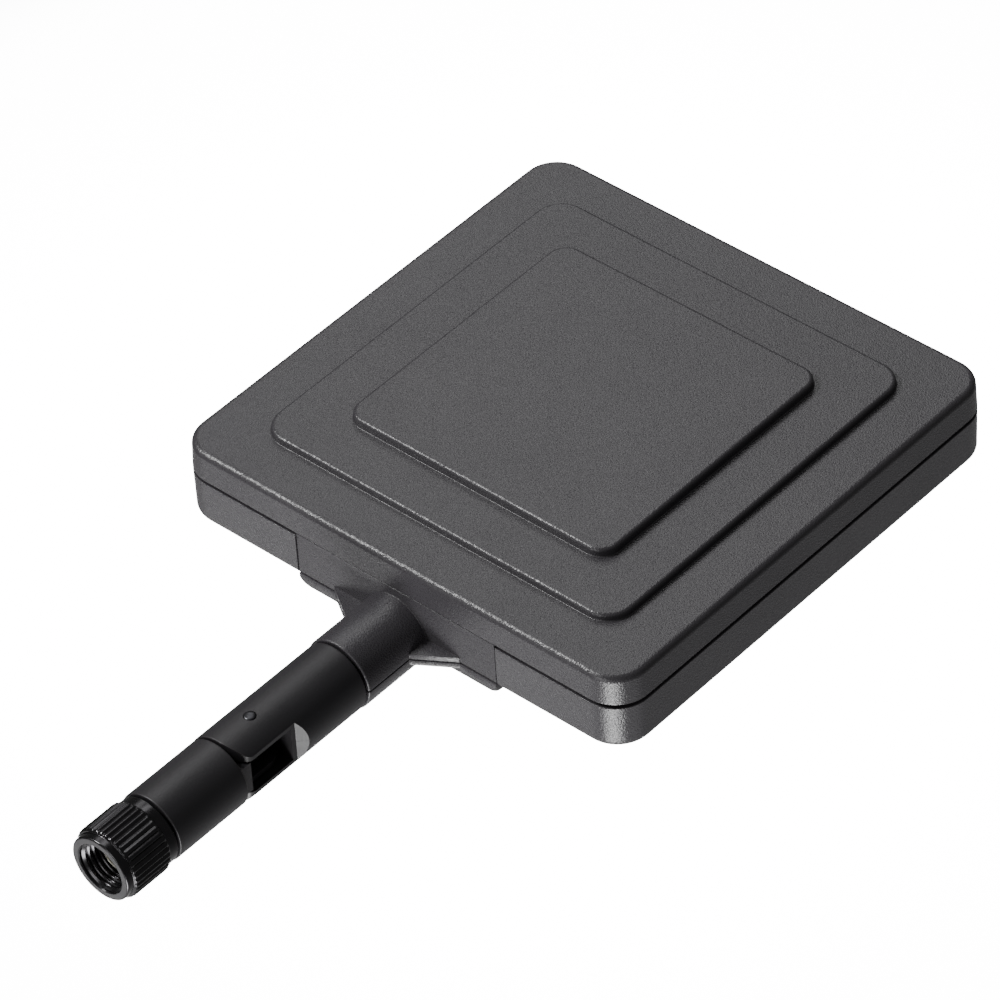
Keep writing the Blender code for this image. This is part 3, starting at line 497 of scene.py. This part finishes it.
def gusset(side, low, high):
    """Thin triangular rib beside the socket."""
    root, end = WALL_Y + NECK_ROOT, WALL_Y - GUSSET_L
    outline = [(GUSSET_INNER_X, root), (GUSSET_INNER_X, end), (SOCKET_R, end), (GUSSET_TIP_X, WALL_Y),
               (GUSSET_TIP_X, root)]
    if side < 0:
        outline = [(-x, y) for x, y in reversed(outline)]
    return extruded(outline, low, high)


def cable_channel(low_z, high_z):
    """Cutter for the cable's way through the neck."""
    return box((-CHANNEL_HALF_W, WALL_Y - CHANNEL_OUT, low_z), (CHANNEL_HALF_W, WALL_Y + CHANNEL_IN, high_z))


def neck_block():
    """Upper half of the neck: front wall between the shells, hidden wings, half socket and ribs."""
    face = WALL_Y + NECK_SET_BACK
    split = BLOCK_LOW.z
    rim = PART_Z + REVEAL / 2 - 0.15
    ledge = PART_Z - SKIRT_DROP - 0.3
    inner = BLOCK_HIGH.y
    side = COVER_HIGH.x
    section = path([(face, split, NECK_EDGE_R), (face, rim, NECK_EDGE_R), (WALL_Y + 0.8, rim),
                    (WALL_Y + 0.8, ledge), (inner, ledge), (inner, split)], closed=True, steps=3)
    obj = as_object("neck_block_fine", extruded(section, -side, side, "X"))
    bead = path([(face - 0.12, SOCKET_R - 0.3), (face - 0.12, SOCKET_R + 0.1, 0.08),
                 (face + 0.4, SOCKET_R + 0.12), (face + 0.4, SOCKET_R - 0.3)], closed=True, steps=3)
    steps = [("UNION", box((-BLOCK_HIGH.x, WALL_Y + 2.0, BACK_Z + WALL + 0.3),
                           (BLOCK_HIGH.x, inner - 0.1, ledge - 0.1))),
             ("UNION", socket_half((1.5, 178.5))), ("UNION", turned(bead, arc=(3.0, 177.0))),
             ("DIFFERENCE", cable_channel(-1.0, 3.9))]
    steps += [("UNION", gusset(side_sign, split, GUSSET_HALF_T)) for side_sign in (-1, 1)]
    return carve(obj, steps, bevel=NECK_BEVEL)


def neck_cover():
    """Lower half of the neck: a bar with rolled edges and ends, half socket, ribs and screw wells."""
    split = COVER_HIGH.z
    front, back, level = WALL_Y + NECK_ROUND, COVER_HIGH.y - NECK_ROUND, KEEL_LOW_Z + NECK_ROUND
    turns = [math.radians(a) for a in range(0, 91, 10)]
    keel = [(WALL_Y, split)]
    keel += [(front - NECK_ROUND * math.cos(t), level - NECK_ROUND * math.sin(t)) for t in turns]
    keel += [(back + NECK_ROUND * math.sin(t), level - NECK_ROUND * math.cos(t)) for t in turns]
    keel += [(COVER_HIGH.y, split)]
    side = COVER_HIGH.x
    roll = [(1.5 * (1 - math.cos(t)), 0.45 + 0.55 * math.sin(t)) for t in turns]
    stations = [(-side + step, deep) for step, deep in roll]
    stations += [(side - step, deep) for step, deep in reversed(roll)]
    rings = [[(x, y, split + (z - split) * deep) for y, z in keel] for x, deep in stations]
    obj = as_object("neck_cover_fine", skinned(rings))
    steps = [("UNION", socket_half((181.5, 358.5))),
             ("DIFFERENCE", cable_channel(-1.2, 0.0))]
    steps += [("UNION", gusset(side_sign, -GUSSET_HALF_T, split)) for side_sign in (-1, 1)]
    for index in (1, 2):
        low, high = node_box(f"neck_screw_{index}")
        at = ((low.x + high.x) / 2, (low.y + high.y) / 2, 0.0)
        head = (high.x - low.x) / 2
        well_r = head + 0.2
        well = [(-5.0, well_r), (NECK_SEAT_Z, well_r), (NECK_SEAT_Z, SCREW_HOLE_R), (1.0, SCREW_HOLE_R)]
        steps.append(("DIFFERENCE", upright(well, at, sides=48)))
    return carve(obj, steps, bevel=NECK_BEVEL)


# ---- Stem ----------------------------------------------------------------------------------------
EAR_R = 5.25
EAR_CORNER_R = 1.2
EAR_FLAT = 3.5
RAMP_FOOT = 3.4
SLOT_HALF_T = 2.4
SLOT_END = 2.75
FACE_OUT = 5.6
TONGUE_HALF = (2.45, 2.12)
TONGUE_BASE = (3.35, 3.75)
CABLE_SLOT_HALF_T = 1.45
PIN_HOLE_R = 0.78
CLIP_GROOVES = (5.95, 9.35)
CLIP_GROOVE_L = 0.9
CLIP_GROOVE_R = 3.45
SWIVEL_BORE = (12.1, 3.0)
FERRULE_BORE = (16.5, 2.5)
CABLE_BORE_R = 1.2
TUBE_BORE_R = 1.4
SPIGOT_R = 3.3
COLLAR_R = 3.95
COLLAR_PLACES = (3.15, 1.75, 0.6)


def pin_cutter(radius, length):
    return upright([(-length, radius), (length, radius)], (0.0, PIN_Y, 0.0), sides=48)


def window_outline():
    """What is cut from the opening side of the upper tube: ramp, flat, and the ears' round ends."""
    ramp_foot = PIN_Y + RAMP_FOOT
    inner = EAR_R - EAR_CORNER_R
    corner_x = EAR_FLAT - EAR_CORNER_R
    corner_y = -math.sqrt(inner ** 2 - corner_x ** 2)
    meet = math.degrees(math.atan2(corner_y, corner_x))
    outline = [(8.0, ramp_foot + 4.5), (EAR_FLAT, ramp_foot)]
    outline += arc_points((corner_x, PIN_Y + corner_y), EAR_CORNER_R, 0, meet, 10)
    outline += arc_points((0.0, PIN_Y), EAR_R, meet, -90, 20)[1:]
    return outline + [(0.0, PIN_Y - 9.0), (8.0, PIN_Y - 9.0)]


def upper_tube():
    end = UPPER_START_Y
    shoulder = SOCKET_START - 0.3
    collar_start, collar_end, root = (WALL_Y - back for back in COLLAR_PLACES)
    section = path([(end, TUBE_BORE_R), (end, TUBE_R, 0.12), (shoulder, TUBE_R, 0.2), (shoulder, SPIGOT_R),
                    (collar_start, SPIGOT_R), (collar_start, COLLAR_R), (collar_end, COLLAR_R),
                    (collar_end, SPIGOT_R), (root, SPIGOT_R), (root, TUBE_BORE_R)], closed=True, steps=4)
    obj = as_object("upper_tube_fine", turned(section))
    steps = [("DIFFERENCE", box((-3.2, end - 2.0, -SLOT_HALF_T), (8.0, PIN_Y + SLOT_END, SLOT_HALF_T))),
             ("DIFFERENCE", extruded(window_outline(), -8.0, 8.0)),
             ("DIFFERENCE", pin_cutter(PIN_HOLE_R, 8.0))]
    carve(obj, steps, bevel=0.09)
    foot = PIN_Y + RAMP_FOOT
    weld_line = [(EAR_FLAT - 0.5, foot - 0.5), (8.0, foot + 4.5), (7.93, foot + 4.57),
                 (EAR_FLAT - 0.57, foot - 0.43)]
    return carve(obj, [("DIFFERENCE", extruded(weld_line, -0.06, 0.04))])


def lower_tube():
    face = PIN_Y - FACE_OUT
    start = LOWER_START_Y
    (swivel_end, swivel_r), (ferrule_end, ferrule_r) = SWIVEL_BORE, FERRULE_BORE
    groove = (CLIP_GROOVES[1], CLIP_GROOVES[1] + CLIP_GROOVE_L)
    section = path([(start, swivel_r), (start, LOWER_TUBE_R, 0.14), (face, LOWER_TUBE_R, 0.14),
                    (face, CABLE_BORE_R), (ferrule_end, CABLE_BORE_R), (ferrule_end, ferrule_r),
                    (swivel_end, ferrule_r),
                    (swivel_end, swivel_r), (groove[1], swivel_r), (groove[1], CLIP_GROOVE_R),
                    (groove[0], CLIP_GROOVE_R), (groove[0], swivel_r)], closed=True, steps=4)
    obj = as_object("lower_tube_fine", turned(section))
    half_w, half_t = TONGUE_HALF
    base_x, base_y, root = TONGUE_BASE[0], PIN_Y - TONGUE_BASE[1], face - 0.8
    tongue = arc_points((0.0, PIN_Y), half_w, 180, 0, 30)
    tongue += [(half_w, base_y), (base_x, base_y), (base_x, root), (-half_w, root)]
    steps = [("UNION", extruded(tongue, -half_t, half_t)),
             ("DIFFERENCE", box((-CABLE_SLOT_HALF_T, base_y, -CABLE_SLOT_HALF_T),
                                (6.0, PIN_Y + 6.0, CABLE_SLOT_HALF_T))),
             ("DIFFERENCE", turned([(ferrule_end - 1.0, CABLE_BORE_R), (base_y + 1.0, CABLE_BORE_R)],
                                   hollow=False)),
             ("DIFFERENCE", pin_cutter(PIN_HOLE_R + 0.1, 6.0))]
    return carve(obj, steps, bevel=0.06)


def hinge_pin(side):
    """Short rivet with a domed head."""
    radius, rim = PIN_HIGH.x, 4.52
    dome = [(side * (rim + 0.18 * math.cos(math.radians(a))), max(radius * math.sin(math.radians(a)), 0.02))
            for a in range(90, -1, -10)]
    shank = [(side * 1.6, radius - 0.1), (side * 1.7, radius)]
    place = "front" if side > 0 else "back"
    return as_object(f"hinge_rivet_{place}", upright(shank + dome, (0.0, PIN_Y, 0.0), 48))


# ---- Coupling nut ----------------------------------------------------------------------------------
NUT_RIBS = 38
RIB_POINTS = 6
RIB_DEPTH = 0.22
KNURL = (1.0, 6.7)
NOSE_R = 4.25
NUT_NECK_R = 4.4
MOUTH_R = 3.36
THREAD_PITCH = 25.4 / 36
THREAD_R = (2.85, 3.22)
THREAD_LENGTH = (0.3, 4.7)
THREAD_ROW = 0.05


def rib_ring(y, radius, depth):
    """Ring with rounded ribs cut to a depth."""
    count = NUT_RIBS * RIB_POINTS
    ring = []
    for i in range(count):
        a = 2 * math.pi * i / count
        groove = (0.5 - 0.5 * math.cos(NUT_RIBS * a)) ** 1.4
        r = radius - depth * groove
        ring.append((r * math.cos(a), y, r * math.sin(a)))
    return ring


def thread_ring(y, blend):
    """Ring of the bore, whose radius follows a helix; blend fades the thread out."""
    count = NUT_RIBS * RIB_POINTS
    low, high = THREAD_R
    ring = []
    for i in range(count):
        a = 2 * math.pi * i / count
        phase = (y / THREAD_PITCH + i / count) % 1.0
        ridge = 1.0 - abs(2.0 * phase - 1.0)
        ridge = min(max(ridge * 1.25 - 0.12, 0.0), 1.0)
        r = high + (low - high) * ridge * blend
        ring.append((r * math.cos(a), y, r * math.sin(a)))
    return ring


def coupling_nut():
    """Knurled nut: plain nose, straight ribs with chamfered ends, neck, and a threaded bore."""
    first, last = KNURL
    root_r = NUT_R - RIB_DEPTH
    nose = path([(0.0, MOUTH_R + 0.05), (0.0, NOSE_R, 0.22), (first, NOSE_R, 0.12),
                 (first + 0.02, root_r - 0.05)], steps=6)
    rings = [rib_ring(y, r, 0.0) for y, r in nose]
    ends = [(0.0, root_r, 0.0), (0.1, NUT_R - 0.14, 0.08), (0.26, NUT_R - 0.02, RIB_DEPTH * 0.9),
            (0.4, NUT_R, RIB_DEPTH)]
    rings += [rib_ring(first + 0.04 + y, r, depth) for y, r, depth in ends]
    rings += [rib_ring(last - 0.04 - y, r, depth) for y, r, depth in reversed(ends)]
    neck = path([(last - 0.02, root_r - 0.02), (last, NUT_NECK_R, 0.05), (NUT_L, NUT_NECK_R, 0.16),
                 (NUT_L, 3.0)], steps=4)
    rings += [rib_ring(y, r, 0.0) for y, r in neck]
    groove = (CLIP_GROOVES[0], CLIP_GROOVES[0] + CLIP_GROOVE_L)
    inner = [(groove[1], 3.0), (groove[1], CLIP_GROOVE_R), (groove[0], CLIP_GROOVE_R), (groove[0], 3.0),
             (THREAD_LENGTH[1] + 0.35, 3.0)]
    rings += [rib_ring(y, r, 0.0) for y, r in inner]
    start, end = THREAD_LENGTH
    rows = int((end - start) / THREAD_ROW)
    for i in range(rows + 1):
        y = end - (end - start) * i / rows
        rings.append(thread_ring(y, min(1.0, (end - y) / 0.4, (y - start + 0.1) / 0.3)))
    mouth = path([(start - 0.02, THREAD_R[1]), (0.16, THREAD_R[1] + 0.02, 0.03), (0.0, MOUTH_R)], steps=3)
    rings += [rib_ring(y, r, 0.0) for y, r in mouth]
    return as_object("coupling_nut_fine", skinned(rings, wrap=True), sharp=50)


# ---- Connector inside the nut ----------------------------------------------------------------------
REFERENCE_PLANE = 2.6
SLEEVE_R = (2.05, 2.3)
BARREL_R = 2.7
CONTACT_R = (0.47, 0.63)


def connector_parts():
    """Outer conductor, dielectric and socket contact, with rolled edges."""
    face, (bore_r, sleeve_r) = REFERENCE_PLANE, SLEEVE_R
    body = [(face, bore_r, 0.06), (face, sleeve_r, 0.1), (4.6, sleeve_r), (4.6, BARREL_R, 0.06)]
    for start in CLIP_GROOVES:
        body += [(start, BARREL_R), (start, sleeve_r), (start + CLIP_GROOVE_L, sleeve_r),
                 (start + CLIP_GROOVE_L, BARREL_R)]
    body += [(11.4, BARREL_R, 0.06), (11.4, 0.95), (14.5, 0.95), (14.5, 0.55), (8.9, 0.55), (8.9, bore_r)]
    outer = as_object("outer_conductor", turned(path(body, closed=True, steps=3), sides=96))
    contact_r = CONTACT_R[1] + 0.12
    dielectric = [(2.8, contact_r), (2.8, bore_r - 0.2, 0.1), (8.6, bore_r - 0.2), (8.6, contact_r)]
    filler = as_object("dielectric", turned(path(dielectric, closed=True, steps=3), sides=96))
    socket = [(5.7, 0.1), (5.4, CONTACT_R[0]), (2.7, CONTACT_R[0]), (2.7, CONTACT_R[1]), (8.3, CONTACT_R[1]),
              (8.5, 0.3), (13.8, 0.3)]
    contact = as_object("socket_contact", turned(path(socket), hollow=False, sides=48))
    return outer, filler, contact


# ---- Screws and cable --------------------------------------------------------------------------------
HEAD_H = {"neck": 0.75, "shell": 1.2, "plate": 0.8}
DRIVE_DEPTH = 0.55
CABLE_R = 0.9
CABLE_ROWS, CABLE_SIDES = 110, 20
CABLE_RISE = (-2.0, 6.5)
CABLE_END_Z = 2.5


def screw(node):
    """Pan-head screw with a cross recess, standing where its CAD node does."""
    low, high = node_box(node)
    kind = node.split("_")[0]
    at = ((low.x + high.x) / 2, (low.y + high.y) / 2)
    head_r = (high.x - low.x) / 2
    direction = -1 if kind == "plate" else 1
    top = high.z if direction < 0 else low.z
    length = high.z - low.z
    head = HEAD_H[kind]
    section = path([(0.0, 0.02), (0.0, head_r * 0.8, head * 0.3), (head * 0.75, head_r, 0.1), (head, head_r),
                    (head, 0.52 * head_r), (length - 0.5, 0.52 * head_r), (length, 0.05)], steps=4)
    body = upright([(top + direction * z, r) for z, r in section], (*at, 0.0), sides=32)
    obj = as_object(f"{node}_fine", body)
    arm, blade = head_r * 0.55, head_r * 0.13
    ends = sorted((top - direction * 0.2, top + direction * DRIVE_DEPTH * min(head, 1.0)))
    slots = [box((at[0] - a, at[1] - b, ends[0]), (at[0] + a, at[1] + b, ends[1]))
             for a, b in ((arm, blade), (blade, arm))]
    return carve(obj, [("DIFFERENCE", slot) for slot in slots])


def coax_cable():
    """One cable from the crimp to the feed point; it rises by CABLE_END_Z near the panel's wall."""
    start = COAX_START_Y
    rise = (WALL_Y + CABLE_RISE[0], WALL_Y + CABLE_RISE[1])
    angles = [2 * math.pi * k / CABLE_SIDES for k in range(CABLE_SIDES)]
    rings = []
    for i in range(CABLE_ROWS + 1):
        y = start + (COAX_END_Y - start) * i / CABLE_ROWS
        t = min(max((y - rise[0]) / (rise[1] - rise[0]), 0.0), 1.0)
        z = CABLE_END_Z * t * t * (3 - 2 * t)
        rings.append([(CABLE_R * math.cos(a), y, z + CABLE_R * math.sin(a)) for a in angles])
    return as_object("coax_cable", skinned(rings))


# ---- Assembly --------------------------------------------------------------------------------------
def build_pieces():
    fit(radome(), "panel", "front_radome", SHELL_LOOK)
    fit(back_shell(), "panel", "back_shell", SHELL_LOOK)
    fit(neck_block(), "panel", "neck_block", SHELL_LOOK)
    fit(neck_cover(), "panel", "neck_cover", SHELL_LOOK)
    fit(upper_tube(), "panel", "upper_tube", STEM_LOOK)
    fit(lower_tube(), "swivel_base", "lower_tube", STEM_LOOK)
    fit(hinge_pin(1), "panel", "hinge_pin_front", PIN_LOOK)
    fit(hinge_pin(-1), "panel", "hinge_pin_back", PIN_LOOK)
    fit(coupling_nut(), "nut", "coupling_nut", NUT_LOOK)
    outer, filler, contact = connector_parts()
    fit(outer, "connector", "connector_body", THREAD_LOOK)
    fit(filler, "connector", "insulator", PTFE_LOOK)
    fit(contact, "connector", "centre_contact", GOLD_LOOK)
    for kind, count in (("neck", 2), ("shell", 4), ("plate", 4)):
        for i in range(1, count + 1):
            name = f"{kind}_screw_{i}"
            fit(screw(name), "panel", name, SCREW_LOOK)
    cable = coax_cable()
    cable.data.materials.append(CABLE_LOOK)
    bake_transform(cable)
    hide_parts("coax_lower", "coax_upper")


def dress_nodes():
    """Materials for the CAD nodes that keep their own shape."""
    looks = {"connector_plating": THREAD_LOOK, "contact_gold": GOLD_LOOK, "insulator_ptfe": PTFE_LOOK,
             "gasket_rubber": RUBBER_LOOK, "clip_bronze": BRONZE_LOOK, "plate_aluminium": SHEET_LOOK,
             "patch_brass": BRASS_LOOK, "spacer_nylon": NYLON_LOOK, "feed_copper": COPPER_LOOK}
    for entry in frame["record"]["subparts"]:
        look = looks.get(entry["material_slot"])
        node = frame["nodes"][entry["node"]]
        if look and not node.hide_render:
            node.data.materials.clear()
            node.data.materials.append(look)


# ---- Stage ---------------------------------------------------------------------------------------------
FLOOR_Z = -1100.0
LAMP_DISTANCE = 1.1
# Soft lamps round the part: name, azimuth and elevation of the lamp (degrees), side (m), power (W).
LAMPS = (("front", 0, 10, 0.5, 3.2), ("front_left", 315, 10, 0.5, 0.5), ("high_left", 225, 65, 0.4, 1.5),
         ("left", 270, 65, 0.4, 0.9), ("back_left", 225, 38, 0.4, 1.15), ("edge_light", 308, 46, 0.25, 12.0),
         ("below_corner", 28, -42, 0.5, 15.0), ("below_right", 90, -42, 0.4, 0.4),
         ("below_front", 316, -42, 0.4, 0.4))
# Spots on the floor: name, place (m), cone (degrees), power (W).
FLOOR_SPOTS = (("backdrop", (-0.84, 0.97), 46.0, 760.0), ("front_floor", (-0.83, -0.8), 60.0, 30.0))
CAMERA_ANGLES = (43.54, 42.26, -3.73)
CAMERA_AWAY, CAMERA_LEFT, CAMERA_DOWN = 743.0, 9.76, 10.83


def floor():
    mesh = bmesh.new()
    bmesh.ops.create_grid(mesh, x_segments=1, y_segments=1, size=6.0)
    obj = as_object("floor", mesh)
    obj.location = (0.0, CENTRE_Y * MM, FLOOR_Z * MM)
    look = Look("pale_floor", (0.9, 0.9, 0.9), 0.9)
    look.vary_roughness(look.noise(40.0), 0.85, 0.95)
    obj.data.materials.append(look.material)


def area_light(name, azimuth, elevation, side, power):
    """Square soft light, aimed at the middle of the part."""
    turn, rise = math.radians(azimuth), math.radians(elevation)
    away = Vector((math.sin(turn) * math.cos(rise), -math.cos(turn) * math.cos(rise), math.sin(rise)))
    data = bpy.data.lights.new(name, "AREA")
    data.shape = "SQUARE"
    data.size = side
    data.energy = power
    obj = bpy.data.objects.new(name, data)
    obj.location = Vector((0.0, CENTRE_Y * MM * 0.8, 0.0)) + away * LAMP_DISTANCE
    obj.rotation_mode = "QUATERNION"
    obj.rotation_quaternion = away.to_track_quat("Z", "Y")
    bpy.context.scene.collection.objects.link(obj)


def floor_spot(name, place, cone, power):
    """Spot 1 m above one stretch of the floor, pointing down."""
    data = bpy.data.lights.new(name, "SPOT")
    data.spot_size = math.radians(cone)
    data.spot_blend = 0.2
    data.shadow_soft_size = 0.05
    data.energy = power
    obj = bpy.data.objects.new(name, data)
    obj.location = (*place, FLOOR_Z * MM + 1.0)
    bpy.context.scene.collection.objects.link(obj)


def camera():
    """Long lens, looking down across the panel from beyond its near corner."""
    azimuth, elevation, roll = (math.radians(a) for a in CAMERA_ANGLES)
    away = Vector((math.sin(azimuth) * math.cos(elevation), -math.cos(azimuth) * math.cos(elevation),
                   math.sin(elevation)))
    right = Vector((0.0, 0.0, 1.0)).cross(away).normalized()
    up = away.cross(right)
    turn = Matrix.Rotation(roll, 3, away)
    right, up = turn @ right, turn @ up
    data = bpy.data.cameras.new("camera")
    data.lens = 230.0
    data.sensor_width = 36.0
    data.clip_start, data.clip_end = 0.05, 20.0
    obj = bpy.data.objects.new("camera", data)
    target = Vector((0.0, CENTRE_Y, FACE_Z)) * MM
    obj.location = target + (away * CAMERA_AWAY - right * CAMERA_LEFT - up * CAMERA_DOWN) * MM
    axes = Matrix((right, up, away)).transposed()
    obj.rotation_mode = "QUATERNION"
    obj.rotation_quaternion = axes.to_quaternion()
    bpy.context.scene.collection.objects.link(obj)
    bpy.context.scene.camera = obj


def studio():
    """Pale surroundings, soft lamps round the part, and one lamp for each bright stretch of floor."""
    world = bpy.data.worlds.new("studio")
    world.use_nodes = True
    world.node_tree.nodes["Background"].inputs["Color"].default_value = (1.0, 1.0, 1.0, 1.0)
    world.node_tree.nodes["Background"].inputs["Strength"].default_value = 0.15
    bpy.context.scene.world = world
    for name, azimuth, elevation, side, power in LAMPS:
        area_light(name, azimuth, elevation, side, power)
    for name, place, cone, power in FLOOR_SPOTS:
        floor_spot(name, place, cone, power)


build_pieces()
dress_nodes()
floor()
camera()
studio()
